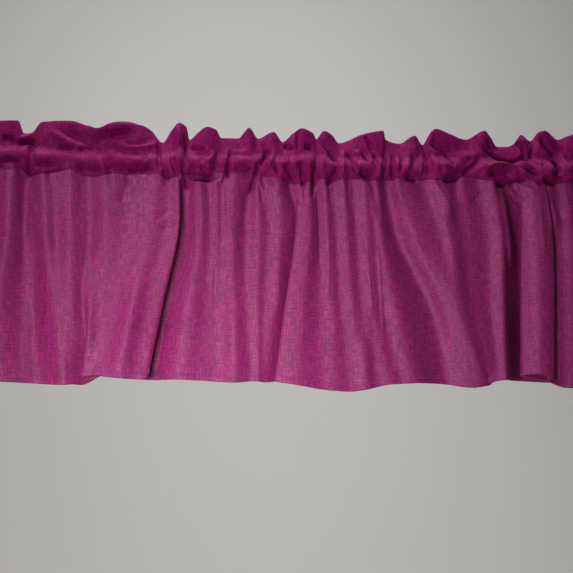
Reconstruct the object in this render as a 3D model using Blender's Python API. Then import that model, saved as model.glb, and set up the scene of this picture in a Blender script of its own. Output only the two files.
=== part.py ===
"""Gathered rod pocket valance: one panel of cloth, hung in its own folds.

Metres, +Z up. The cloth hangs across X with its right side towards -Y. The origin is on the axis of the
rod channel, at the middle of the width. The tables hold millimetres.
"""

import math
from collections import namedtuple

import bmesh
import bpy
from mathutils import Vector

MM = 0.001

# Heights from the axis of the rod channel
NECK_Z = 21.5
CHANNEL_SEAM_Z = -18.0
UPPER_Z = -110.0
LOWER_Z = -220.0
NODE_GAP = 0.3

# Where the hanging cloth lies on average, at the channel seam, upper, lower and hem levels
HANGING_Y = (-3.0, -8.0, -13.0, -16.0)

# Cloth thicknesses
SINGLE_LAYER = 2.0
HEM_LAYERS = 3.0
SEAM_LAYERS = 3.0
RUFFLE_LAYERS = 2.6
HEM_HEIGHT = 9.0
SIDE_HEM_COLUMNS = 2

# Rod channel
NECK_Y = -1.0
FRONT_BULGE = 11.5
BACK_BULGE = 12.0
SEAM_FADE = 6
NECK_SHARE = 0.25

# The look of the cloth
HEADING_COLOUR = (0.265, 0.024, 0.135)
DROP_COLOUR = (0.300, 0.028, 0.155)
ROUGHNESS = 0.62
SHEEN = 0.35
CREASE_ANGLE = math.radians(60)

# Mesh density
COLUMNS_PER_FOLD = 3
ROWS_PER_LEVEL = 3
HEM_STEP = 0.01
HEADING_STATIONS = 134
RUFFLE_SHARES = (0.0, 0.3, 0.66, 1.0)
FRONT_WALL_SHARES = (0.16, 0.38, 0.62, 0.84)
BACK_WALL_SHARES = (0.8, 0.5, 0.2)
INNER_WALL_SHARES = (0.18, 0.36, 0.64, 0.84)

# One row for each crest, valley and folded edge of the drop, from left to right. An x is a place across the
# width and an out is how far the cloth stands in front of the hanging plane there, at four levels.
Fold = namedtuple("Fold", "seam_x seam_out upper_x upper_out lower_x lower_out hem_x hem_out hem_z")

FOLDS = [
    Fold(-500, 2, -500, 2, -500, 3, -500, 3, -326),
    Fold(-482, -5, -480, -7, -478, -8, -476, -8, -328),
    Fold(-455, 6, -451, 9, -449, 10, -446, 10, -325),
    Fold(-431, -5, -427, -7, -430, -5, -430, -4, -327),
    Fold(-399, 5, -398, 8, -407, 10, -404, 8, -327),
    Fold(-377, -6, -377, -9, -366, -9, -349, -7, -329),
    Fold(-354, 5, -346, 6, -331, 7, -312, 6, -331),
    Fold(-341, 0, -333, 1, -318, 5, -300, 1, -330),
    Fold(-315, 4, -310, 5, -304, 3, -286, -8, -330),
    Fold(-293, -5, -288, -6, -291, -5, -266, -12, -319),
    Fold(-286, -4, -282, -5, -287, -4, -263, -7, -318),
    Fold(-280, -1, -277, -2, -282, 0, -287, -2, -319),
    Fold(-274, 2, -272, 1, -277, 3, -288, 3, -320),
    Fold(-265, 5, -261, 5, -265, 4, -270, 5, -318),
    Fold(-225, -1, -233, 1, -242, 7, -252, 8, -320),
    Fold(-190, 5, -197, 8, -220, 13, -232, 12, -322),
    Fold(-172, 1, -177, 5, -202, 9, -214, 8, -323),
    Fold(-161, 6, -158, 9, -180, 8, -199, 8, -323),
    Fold(-157, 3, -157, 5, -178, 4, -197, 4, -323),
    Fold(-154, -1, -169, -1, -197, -3, -217, -3, -322),
    Fold(-151, -5, -168, -5, -196, -8, -216, -8, -322),
    Fold(-145, -6, -150, -10, -170, -12, -190, -12, -323),
    Fold(-129, 4, -126, 4, -142, 2, -157, 3, -323),
    Fold(-117, -2, -112, -1, -118, 0, -126, 1, -324),
    Fold(-105, 2, -102, 2, -106, 1, -110, 1, -325),
    Fold(-96, -1, -95, 1, -97, 2, -96, 2, -326),
    Fold(-79, 4, -79, 5, -77, 5, -74, 6, -327),
    Fold(-50, -5, -60, -4, -60, 0, -52, 1, -325),
    Fold(-42, 2, -41, 3, -43, 3, -42, 3, -325),
    Fold(-35, -2, -28, 0, -34, 1, -36, 1, -326),
    Fold(-11, 5, -8, 3, -18, 2, -29, -2, -326),
    Fold(3, -6, 21, -10, 13, -12, 1, -13, -322),
    Fold(8, -5, 23, -6, 15, -8, 4, -8, -322),
    Fold(14, -2, 12, -1, -4, -1, -18, -2, -324),
    Fold(20, 2, 13, 3, -3, 3, -18, 3, -325),
    Fold(31, 4, 33, 8, 20, 9, 12, 9, -330),
    Fold(44, -4, 48, -1, 45, 3, 48, 4, -336),
    Fold(56, 3, 60, 4, 66, 5, 68, 5, -338),
    Fold(69, -2, 72, 0, 77, 3, 89, 3, -339),
    Fold(84, 4, 88, 5, 95, 6, 114, 6, -336),
    Fold(97, -2, 103, 0, 108, 3, 130, 4, -332),
    Fold(115, 4, 118, 6, 125, 6, 146, 6, -329),
    Fold(124, 1, 129, 4, 137, 4, 162, 5, -328),
    Fold(133, 3, 139, 6, 160, 8, 184, 8, -327),
    Fold(148, -6, 164, -11, 212, -12, 231, -8, -328),
    Fold(165, 5, 188, 5, 231, 2, 254, 1, -332),
    Fold(202, -5, 226, 2, 243, 6, 268, 5, -333),
    Fold(214, 4, 241, 7, 254, 8, 283, 8, -331),
    Fold(247, -4, 262, -3, 270, -2, 292, 0, -329),
    Fold(261, 2, 276, -4, 282, -3, 297, 0, -325),
    Fold(285, -3, 299, -5, 298, -2, 304, 3, -323),
    Fold(309, 5, 319, 4, 316, 6, 315, 7, -322),
    Fold(321, -3, 330, -6, 327, -7, 326, -7, -322),
    Fold(334, -8, 346, -19, 347, -24, 346, -24, -322),
    Fold(344, -8, 384, -21, 387, -24, 389, -24, -324),
    Fold(348, -5, 385, -15, 388, -18, 390, -18, -324),
    Fold(352, -2, 352, -5, 345, -7, 340, -7, -315),
    Fold(356, 1, 353, 0, 346, -1, 341, -1, -315),
    Fold(369, 6, 371, 11, 367, 13, 362, 13, -314),
    Fold(388, 4, 400, 7, 395, 8, 388, 8, -320),
    Fold(392, 1, 402, 3, 397, 4, 390, 4, -321),
    Fold(397, -3, 395, -3, 386, -3, 378, -3, -324),
    Fold(401, -5, 396, -7, 387, -7, 379, -7, -324),
    Fold(408, -6, 414, -8, 411, -9, 405, -9, -332),
    Fold(425, 4, 428, 5, 425, 6, 420, 6, -333),
    Fold(448, -5, 445, -7, 442, -8, 438, -8, -329),
    Fold(472, 6, 470, 9, 467, 11, 463, 11, -333),
    Fold(490, -4, 489, -6, 487, -7, 485, -7, -329),
    Fold(504, 1, 503, 2, 502, 3, 500, 3, -331),
]

# One row for each peak and dip of the ruffle, from left to right: its place, the height of the raw fold of
# cloth there, how far it flops forward, how far it leans sideways and how far the channel under it swells.
Gather = namedtuple("Gather", "x top out lean swell")

GATHERS = [
    Gather(-500, 52, 2, 0, 0),
    Gather(-481, 44, -5, 2, -1),
    Gather(-462, 55, 6, 3, 3),
    Gather(-443, 46, -4, -2, -1),
    Gather(-420, 53, 5, 0, 3),
    Gather(-397, 55, 3, 3, 0),
    Gather(-388, 38, -4, 2, -2),
    Gather(-374, 39, -6, -2, -2),
    Gather(-361, 53, 5, 2, 3),
    Gather(-318, 56, 4, 0, 3),
    Gather(-293, 50, 0, 0, 0),
    Gather(-280, 47, -4, 0, -2),
    Gather(-254, 54, 4, 0, 3),
    Gather(-236, 55, 5, 0, 3),
    Gather(-212, 52, 2, -2, 0),
    Gather(-198, 45, -2, -2, -1),
    Gather(-184, 29, -7, 0, -2),
    Gather(-173, 46, -1, 2, 0),
    Gather(-161, 56, 6, 2, 3),
    Gather(-151, 51, 3, 2, -2),
    Gather(-144, 34, -6, 0, -1),
    Gather(-134, 43, 1, 2, 3),
    Gather(-117, 51, 6, 0, 3),
    Gather(-105, 48, 2, 0, -1),
    Gather(-97, 37, -3, 0, 0),
    Gather(-70, 37, -3, -2, 3),
    Gather(-56, 51, 6, 0, 0),
    Gather(-42, 38, -5, 0, -1),
    Gather(-22, 46, 4, 2, -2),
    Gather(-5, 34, -6, 0, 0),
    Gather(7, 45, 0, 2, -1),
    Gather(23, 52, 6, 0, 3),
    Gather(38, 46, 1, 2, 3),
    Gather(45, 39, -4, 0, -2),
    Gather(58, 49, 5, -2, 0),
    Gather(71, 44, 0, -2, -2),
    Gather(79, 34, -6, 0, 0),
    Gather(113, 46, 3, 2, 3),
    Gather(142, 51, 6, 3, 3),
    Gather(148, 40, -3, 2, -1),
    Gather(171, 35, -5, 0, 3),
    Gather(193, 45, 4, 0, 0),
    Gather(207, 34, -6, 0, -2),
    Gather(216, 52, 3, 2, 0),
    Gather(225, 56, 6, 0, 3),
    Gather(251, 49, 3, -3, -1),
    Gather(277, 43, -3, -4, -1),
    Gather(298, 55, 5, 2, 3),
    Gather(307, 47, 0, 3, -1),
    Gather(323, 34, -7, 0, -2),
    Gather(337, 34, -6, 0, -1),
    Gather(349, 38, -2, -2, 0),
    Gather(356, 50, 4, 0, 4),
    Gather(373, 43, -3, 0, -1),
    Gather(384, 55, 4, 0, 3),
    Gather(393, 57, 6, 0, 4),
    Gather(414, 46, -3, 2, -1),
    Gather(427, 50, 3, 2, 3),
    Gather(439, 52, 5, 0, 3),
    Gather(452, 43, -5, 0, -1),
    Gather(468, 54, 6, 2, 3),
    Gather(485, 44, -4, 0, -1),
    Gather(504, 50, 3, 0, 0),
]


def clear_scene():
    for old in list(bpy.data.objects):
        bpy.data.objects.remove(old, do_unlink=True)


def cloth_material(name, colour):
    material = bpy.data.materials.new(name)
    material.use_nodes = True
    shader = material.node_tree.nodes["Principled BSDF"]
    shader.inputs["Base Color"].default_value = (*colour, 1.0)
    shader.inputs["Roughness"].default_value = ROUGHNESS
    shader.inputs["Metallic"].default_value = 0.0
    shader.inputs["Sheen Weight"].default_value = SHEEN
    return material


def mixed(first, second, share):
    return first + (second - first) * share


def curve_through(points, steps):
    """Samples a rounded curve through every point, steps to a span, which never loops at tight folds."""
    padded = [2 * points[0] - points[1], *points, 2 * points[-1] - points[-2]]
    samples = []
    for a, b, c, d in zip(padded, padded[1:], padded[2:], padded[3:]):
        ka = 0.0
        kb = ka + math.sqrt((b - a).length)
        kc = kb + math.sqrt((c - b).length)
        kd = kc + math.sqrt((d - c).length)
        for step in range(steps):
            k = mixed(kb, kc, step / steps)
            ab = a.lerp(b, (k - ka) / (kb - ka))
            bc = b.lerp(c, (k - kb) / (kc - kb))
            cd = c.lerp(d, (k - kc) / (kd - kc))
            abc = ab.lerp(bc, (k - ka) / (kc - ka))
            bcd = bc.lerp(cd, (k - kb) / (kd - kb))
            samples.append(abc.lerp(bcd, (k - kb) / (kc - kb)))
    samples.append(points[-1].copy())
    return samples


def down_a_column(levels, place):
    """A point at place 0 to 3 on the smooth line through a column's four levels."""
    span = min(int(place), len(levels) - 2)
    share = place - span
    b, c = levels[span], levels[span + 1]
    a = levels[span - 1] if span else 2 * b - c
    d = levels[span + 2] if span + 2 < len(levels) else 2 * c - b
    bend = (c - a) * share
    bend += (2 * a - 5 * b + 4 * c - d) * share**2
    bend += (3 * b - a - 3 * c + d) * share**3
    return b + bend / 2


def smooth_value(xs, values, x):
    """Reads a table at x, rising and falling only where the table does."""
    if x <= xs[0]:
        return values[0]
    if x >= xs[-1]:
        return values[-1]
    i = max(k for k in range(len(xs) - 1) if xs[k] <= x)

    def rate(k):
        if k <= 0 or k >= len(xs) - 1:
            return 0.0
        before = (values[k] - values[k - 1]) / (xs[k] - xs[k - 1])
        after = (values[k + 1] - values[k]) / (xs[k + 1] - xs[k])
        return 0.0 if before * after <= 0 else 2 * before * after / (before + after)

    width = xs[i + 1] - xs[i]
    s = (x - xs[i]) / width
    rising = s * s * (3 - 2 * s)
    ends = s * (1 - s) * ((1 - s) * rate(i) - s * rate(i + 1)) * width
    return mixed(values[i], values[i + 1], rising) + ends


def drop_columns():
    """Every column of the drop as its points at the seam, upper, lower and hem levels."""
    top_z = CHANNEL_SEAM_Z - NODE_GAP
    seam = [Vector((f.seam_x, HANGING_Y[0] - f.seam_out, top_z)) for f in FOLDS]
    upper = [Vector((f.upper_x, HANGING_Y[1] - f.upper_out, UPPER_Z)) for f in FOLDS]
    lower = [Vector((f.lower_x, HANGING_Y[2] - f.lower_out, LOWER_Z)) for f in FOLDS]
    hem = [Vector((f.hem_x, HANGING_Y[3] - f.hem_out, f.hem_z)) for f in FOLDS]
    levels = (seam, upper, lower, hem)
    return list(zip(*(curve_through(level, COLUMNS_PER_FOLD) for level in levels)))


def row_faces(row, thickness):
    """The front and back points of one level row, offset squarely to both sides of the cloth's middle."""
    front = []
    back = []
    for i, point in enumerate(row):
        ahead = row[min(i + 1, len(row) - 1)] - row[max(i - 1, 0)]
        out = Vector((ahead.y, -ahead.x, 0)).normalized()
        side_hem = min(i, len(row) - 1 - i) < SIDE_HEM_COLUMNS
        half = (HEM_LAYERS if side_hem else thickness) / 2
        front.append(point + out * half)
        back.append(point - out * half)
    return front, back


def grid_body(bm, front, back):
    """Closes two grids of points, rows from the top down, into one thin body."""
    front = [[bm.verts.new(point * MM) for point in row] for row in front]
    back = [[bm.verts.new(point * MM) for point in row] for row in back]
    last = len(front) - 1
    for r in range(last):
        for c in range(len(front[0]) - 1):
            bm.faces.new((front[r][c], front[r + 1][c], front[r + 1][c + 1], front[r][c + 1]))
            bm.faces.new((back[r][c], back[r][c + 1], back[r + 1][c + 1], back[r + 1][c]))
        bm.faces.new((front[r][0], back[r][0], back[r + 1][0], front[r + 1][0]))
        bm.faces.new((front[r][-1], front[r + 1][-1], back[r + 1][-1], back[r][-1]))
    for c in range(len(front[0]) - 1):
        bm.faces.new((front[0][c], front[0][c + 1], back[0][c + 1], back[0][c]))
        bm.faces.new((front[last][c], back[last][c], back[last][c + 1], front[last][c + 1]))


def build_drop(columns):
    hem_place = 3 - HEM_HEIGHT / (LOWER_Z - min(f.hem_z for f in FOLDS))
    rows = [(k / ROWS_PER_LEVEL, SINGLE_LAYER) for k in range(3 * ROWS_PER_LEVEL)]
    rows += [(hem_place - HEM_STEP, SINGLE_LAYER), (hem_place, HEM_LAYERS), (3.0, HEM_LAYERS)]
    faces = [row_faces([down_a_column(c, place) for c in columns], thick) for place, thick in rows]
    bm = bmesh.new()
    grid_body(bm, [front for front, _ in faces], [back for _, back in faces])
    return finished(bm, "drop", cloth_material("drop_cloth", DROP_COLOUR))


def bulge(share):
    """How far the wall of the channel stands out, 0 at either seam and 1 in the middle."""
    return math.sqrt(math.sin(math.pi * share))


def channel_wall(share, seam_y, reach):
    """Depth of a channel wall at a share of the way up to the neck. The front one has a negative reach."""
    fade = (1 - share) ** SEAM_FADE
    return mixed(NECK_Y, seam_y, fade) + reach * bulge(share)


def heading_section(x, seam_y):
    """Outer and inner loops of the heading at one station, from the channel seam up the front."""
    xs = [g.x for g in GATHERS]
    top = smooth_value(xs, [g.top for g in GATHERS], x)
    out = smooth_value(xs, [g.out for g in GATHERS], x)
    lean = smooth_value(xs, [g.lean for g in GATHERS], x)
    swell = smooth_value(xs, [g.swell for g in GATHERS], x)
    front_reach = -FRONT_BULGE - swell
    half = RUFFLE_LAYERS / 2

    def wall_z(share):
        return mixed(CHANNEL_SEAM_Z, NECK_Z, share)

    def ruffle(height_share, side):
        y = NECK_Y - out * mixed(NECK_SHARE, 1.0, height_share) + side * half
        return Vector((x + lean * height_share, y, mixed(NECK_Z, top, height_share)))

    outer = [Vector((x, seam_y - SEAM_LAYERS / 2, CHANNEL_SEAM_Z))]
    outer += [Vector((x, channel_wall(s, seam_y, front_reach), wall_z(s))) for s in FRONT_WALL_SHARES]
    outer += [ruffle(share, -1) for share in RUFFLE_SHARES]
    outer += [ruffle(share, 1) for share in reversed(RUFFLE_SHARES)]
    outer += [Vector((x, channel_wall(s, seam_y, BACK_BULGE), wall_z(s))) for s in BACK_WALL_SHARES]
    outer.append(Vector((x, seam_y + SEAM_LAYERS / 2, CHANNEL_SEAM_Z)))
    inner = []
    for s in INNER_WALL_SHARES:
        inner.append(Vector((x, channel_wall(s, seam_y, front_reach) + SINGLE_LAYER, wall_z(s))))
    for s in reversed(INNER_WALL_SHARES):
        inner.append(Vector((x, channel_wall(s, seam_y, BACK_BULGE) - SINGLE_LAYER, wall_z(s))))
    return outer, inner


def add_tube(bm, sections):
    """Joins one closed loop of points to the next along the width, and returns the two end loops."""
    rings = [[bm.verts.new(point * MM) for point in section] for section in sections]
    for ring, following in zip(rings, rings[1:]):
        for i in range(len(ring)):
            j = (i + 1) % len(ring)
            bm.faces.new((ring[i], ring[j], following[j], following[i]))
    return rings[0], rings[-1]


def loop_edges(bm, ring):
    return [bm.edges.get((ring[i], ring[(i + 1) % len(ring)])) for i in range(len(ring))]


def build_heading(columns):
    seam = [levels[0] for levels in columns]
    first, last = seam[0].x, seam[-1].x
    outer_sections = []
    inner_sections = []
    for station in range(HEADING_STATIONS + 1):
        x = mixed(first, last, station / HEADING_STATIONS)
        k = max(i for i in range(len(seam) - 1) if seam[i].x <= x)
        share = min((x - seam[k].x) / (seam[k + 1].x - seam[k].x), 1.0)
        outer, inner = heading_section(x, mixed(seam[k].y, seam[k + 1].y, share))
        outer_sections.append(outer)
        inner_sections.append(inner)
    bm = bmesh.new()
    outer_ends = add_tube(bm, outer_sections)
    inner_ends = add_tube(bm, inner_sections)
    for outer_ring, inner_ring in zip(outer_ends, inner_ends):
        rim = loop_edges(bm, outer_ring) + loop_edges(bm, inner_ring)
        bmesh.ops.triangle_fill(bm, use_beauty=True, use_dissolve=False, edges=rim)
    return finished(bm, "heading", cloth_material("heading_cloth", HEADING_COLOUR))


def finished(bm, name, material):
    bmesh.ops.recalc_face_normals(bm, faces=bm.faces[:])
    mesh = bpy.data.meshes.new(name)
    bm.to_mesh(mesh)
    bm.free()
    mesh.shade_smooth()
    mesh.set_sharp_from_angle(angle=CREASE_ANGLE)
    mesh.materials.append(material)
    obj = bpy.data.objects.new(name, mesh)
    bpy.context.scene.collection.objects.link(obj)
    return obj


clear_scene()
cloth_columns = drop_columns()
build_drop(cloth_columns)
build_heading(cloth_columns)
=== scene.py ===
import math
from collections import namedtuple

import bpy
import numpy as np
from bpy.props import FloatProperty, FloatVectorProperty, IntProperty, PointerProperty
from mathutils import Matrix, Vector


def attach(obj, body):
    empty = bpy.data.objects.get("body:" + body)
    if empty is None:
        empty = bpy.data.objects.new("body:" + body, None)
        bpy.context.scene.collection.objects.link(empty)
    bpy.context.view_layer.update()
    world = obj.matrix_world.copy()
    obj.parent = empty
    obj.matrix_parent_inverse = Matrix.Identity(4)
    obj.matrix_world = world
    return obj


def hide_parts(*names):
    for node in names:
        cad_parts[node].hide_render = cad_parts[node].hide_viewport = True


bl_info = {
    "name": "Gathered Valance",
    "version": (1, 0, 0),
    "blender": (4, 5, 0),
    "location": "3D View > Sidebar > Valance",
    "description": "Dresses the packed valance in fine cloth: folds, creases, hems and stitches",
    "category": "Object",
}

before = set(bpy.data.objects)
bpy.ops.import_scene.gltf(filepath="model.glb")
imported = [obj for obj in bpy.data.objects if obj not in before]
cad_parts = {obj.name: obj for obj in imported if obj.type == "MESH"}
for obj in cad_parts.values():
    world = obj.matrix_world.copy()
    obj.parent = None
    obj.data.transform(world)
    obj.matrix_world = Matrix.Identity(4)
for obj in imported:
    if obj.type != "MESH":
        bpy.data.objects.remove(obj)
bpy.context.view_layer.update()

MM = 0.001

# Heights from the axis of the rod channel, in millimetres, as in the solids, and the depth of the
# hanging plane at the seam, at the two levels under it and at the hem
NECK_Z = 21.5
CHANNEL_SEAM_Z = -18.0
UPPER_Z = -110.0
LOWER_Z = -220.0
HANGING_Y = (-3.0, -8.0, -13.0, -16.0)

# Rod channel: the depth of its neck, how far its front and back bulge, and the powers that shape
# its walls near the seam, near the neck, at the belly and in the valley under the neck
NECK_Y = -1.0
FRONT_BULGE = 12.5
BACK_BULGE = 12.0
SEAM_FADE = 6
NECK_FADE = 4
BELLY = 0.65
NECK_VALLEY = 1.5

# Ruffle: how much of its flop the neck takes, half its thickness, where its edge starts to round,
# how its puff rises, and the length that sets how far a fold pushed forward also comes down
NECK_SHARE = 0.25
RUFFLE_HALF = 1.2
RUFFLE_ROUND = 0.9
PUFF_TOP = 0.97
PUFF_POWER = 0.8
FLOP_ROOM = 60

# How far the sag and the puckers reach from the stitch lines, how far sideways the neck's puckers
# are moved so that they differ from the seam's, and how far under the seam the rules for creases
# and waviness of the drop apply in full, in millimetres
SAG_REACH = 35
DROP_PUCKERS = 13
HEADING_PUCKERS = 7
NECK_SHIFT = 40
CREASES_FROM = 14
WAVINESS_FROM = 30

# Share of a crease that fades out at each end, how far the cloth turns its side to the eye before
# a crease fades there, how much of the creases shows in the back of the channel, and the height
# over which that changes at the neck, in millimetres
CREASE_FADE = 0.3
SIDE_ON = 0.05
SIDE_FADE = 0.4
BACK_CREASES = 0.3
NECK_EASE = 12

# How far the hem's stitch line dips and its doubled cloth stands forward, in millimetres
HEM_DIP = 0.3
HEM_SWELL = 0.45

# Stitches: how much of its own half thickness each one stands out, and the faces of its spindle
# between two tips, a top, an underside and two sides
STITCH_LIFT = 0.6
SPINDLE_FACES = [
    (0, 2, 4), (0, 4, 3), (0, 3, 5), (0, 5, 2), (1, 4, 2), (1, 3, 4), (1, 5, 3), (1, 2, 5)
]

# Steps from fold to fold when the cloth is measured, the rows of each strip of the fine mesh, how
# far down the fine rows of the drop go in levels, and how evenly the channel's front rows lie
STEPS_PER_FOLD = 24
FINE_ROWS = 20
FINE_TO = 0.45
PLAIN_ROWS = 54
HEM_ROWS = 6
SIDE_HEM_COLUMNS = 7
POCKET_ROWS = 30
POCKET_EVENNESS = 0.35
RUFFLE_ROWS = 17
RUFFLE_EDGE_ROWS = 6
BACK_ROWS = 12
BACK_EDGE_ROWS = 5

# Weave: the thick and thin runs of its threads and the patches of its dye as cells of noise, in
# metres, how far the dye varies, how much shinier thick threads are, the dullest that any thread
# may be, and how much the plain crossings of the threads stand out
Threads = namedtuple("Threads", "across up seed")
UPRIGHT = Threads(0.0011, 0.024, 3.0)
LEVEL = Threads(0.018, 0.0011, 11.0)
SHORT_UPRIGHT = Threads(0.0016, 0.012, 23.0)
SHORT_LEVEL = Threads(0.009, 0.0016, 37.0)
DYE = Threads(0.018, 0.05, 51.0)
DYE_SWING = 0.24
SLUB_SHINE = 0.1
DULLEST = 0.95
PLAIN_WEAVE = 0.12

# Pale sweep, in metres
SWEEP_FRONT = -4.5
SWEEP_TOP = 4.5
SWEEP_SIDE = 5.5
SWEEP_BEND = 1.3
BEND_STEPS = 16

# Lights: where each one stands, what it shines at and how wide it is, in metres, its colour and
# its spread in degrees. The key light shines where the camera looks.
Lamp = namedtuple("Lamp", "name place aim size colour spread")
KEY_LIGHT = Lamp("key_light", (-0.8, -1.15, 0.95), None, 0.45, (1.0, 0.985, 0.96), 180)
FILL_LIGHT = Lamp(
    "fill_light", (-0.38, -0.78, -0.44), (-0.05, 0.0, -0.39), 0.35, (0.97, 0.98, 1.0), 78
)
SWEEP_LIGHT = Lamp("sweep_light", (0.0, 0.4, 1.6), (0.0, 3.6, -0.2), 2.5, (1.0, 1.0, 1.0), 180)

# One row for each crest, valley and folded edge of the drop, from left to right. An x is a place
# across the width and an out is how far the cloth stands in front of the hanging plane there, at
# four levels.
Fold = namedtuple("Fold", "seam_x seam_out upper_x upper_out lower_x lower_out hem_x hem_out hem_z")

FOLD_ROWS = [
    (-500, 2, -500, 2, -500, 3, -500, 3, -326),
    (-482, -5, -480, -7, -478, -8, -476, -8, -328),
    (-455, 6, -451, 9, -449, 10, -446, 10, -325),
    (-431, -5, -427, -7, -430, -5, -430, -4, -327),
    (-399, 5, -398, 8, -407, 10, -404, 8, -327),
    (-377, -6, -377, -9, -366, -9, -349, -7, -329),
    (-354, 5, -346, 6, -331, 7, -312, 6, -331),
    (-341, 0, -333, 1, -318, 5, -300, 1, -330),
    (-315, 4, -310, 5, -304, 3, -286, -8, -330),
    (-293, -5, -288, -6, -291, -5, -266, -12, -319),
    (-286, -4, -282, -5, -287, -4, -263, -7, -318),
    (-280, -1, -277, -2, -282, 0, -287, -2, -319),
    (-274, 2, -272, 1, -277, 3, -288, 3, -320),
    (-265, 5, -261, 5, -265, 4, -270, 5, -318),
    (-225, -1, -233, 1, -242, 7, -252, 8, -320),
    (-190, 5, -197, 8, -220, 13, -232, 12, -322),
    (-172, 1, -177, 5, -202, 9, -214, 8, -323),
    (-161, 6, -158, 9, -180, 8, -199, 8, -323),
    (-157, 3, -157, 5, -178, 4, -197, 4, -323),
    (-154, -1, -169, -1, -197, -3, -217, -3, -322),
    (-151, -5, -168, -5, -196, -8, -216, -8, -322),
    (-145, -6, -150, -10, -170, -12, -190, -12, -323),
    (-129, 4, -126, 4, -142, 2, -157, 3, -323),
    (-117, -2, -112, -1, -118, 0, -126, 1, -324),
    (-105, 2, -102, 2, -106, 1, -110, 1, -325),
    (-96, -1, -95, 1, -97, 2, -96, 2, -326),
    (-79, 4, -79, 5, -77, 5, -74, 6, -327),
    (-50, -5, -60, -4, -60, 0, -52, 1, -325),
    (-42, 2, -41, 3, -43, 3, -42, 3, -325),
    (-35, -2, -28, 0, -34, 1, -36, 1, -326),
    (-11, 5, -8, 3, -18, 2, -29, -2, -326),
    (3, -6, 21, -10, 13, -12, 1, -13, -322),
    (8, -5, 23, -6, 15, -8, 4, -8, -322),
    (14, -2, 12, -1, -4, -1, -18, -2, -324),
    (20, 2, 13, 3, -3, 3, -18, 3, -325),
    (31, 4, 33, 8, 20, 9, 12, 9, -330),
    (44, -4, 48, -1, 45, 3, 48, 4, -336),
    (56, 3, 60, 4, 66, 5, 68, 5, -338),
    (69, -2, 72, 0, 77, 3, 89, 3, -339),
    (84, 4, 88, 5, 95, 6, 114, 6, -336),
    (97, -2, 103, 0, 108, 3, 130, 4, -332),
    (115, 4, 118, 6, 125, 6, 146, 6, -329),
    (124, 1, 129, 4, 137, 4, 162, 5, -328),
    (133, 3, 139, 6, 160, 8, 184, 8, -327),
    (148, -6, 164, -11, 212, -12, 231, -8, -328),
    (165, 5, 188, 5, 231, 2, 254, 1, -332),
    (202, -5, 226, 2, 243, 6, 268, 5, -333),
    (220, 3, 241, 7, 254, 6, 283, 6, -331),
    (250, -2, 262, -1, 270, 1, 292, 2, -329),
    (263, 2, 276, -2, 282, 0, 297, 2, -325),
    (285, -3, 299, -4, 298, -1, 304, 3, -323),
    (309, 5, 319, 4, 316, 6, 315, 7, -322),
    (321, -3, 330, -6, 327, -7, 326, -7, -322),
    (334, -8, 346, -15, 347, -22, 346, -24, -322),
    (344, -8, 380, -17, 383, -22, 386, -24, -324),
    (348, -5, 381, -11, 384, -16, 387, -18, -324),
    (352, -2, 352, -5, 345, -7, 340, -7, -315),
    (356, 1, 353, 0, 346, -1, 341, -1, -315),
    (369, 6, 371, 11, 367, 13, 362, 13, -314),
    (388, 4, 394, 8, 389, 10, 383, 10, -320),
    (392, 1, 396, 5, 391, 7, 385, 7, -321),
    (397, -1, 391, 3, 384, 5, 376, 5, -324),
    (401, -2, 392, 1, 385, 3, 377, 3, -324),
    (408, -3, 409, 0, 404, 2, 399, 2, -332),
    (425, 4, 428, 5, 425, 6, 420, 6, -333),
    (448, -5, 445, -7, 442, -8, 438, -8, -329),
    (472, 6, 470, 9, 467, 11, 463, 11, -333),
    (490, -4, 489, -6, 487, -7, 485, -7, -329),
    (504, 1, 503, 2, 502, 3, 500, 3, -331),
]
FOLDS = [Fold(*row) for row in FOLD_ROWS]

# One row for each peak and dip of the ruffle, from left to right: its place, the height of the edge
# there, how far it flops forward, how far it leans sideways, how far the channel under it swells
# and how far its two layers puff apart.
Gather = namedtuple("Gather", "x top out lean swell puff")

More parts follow.
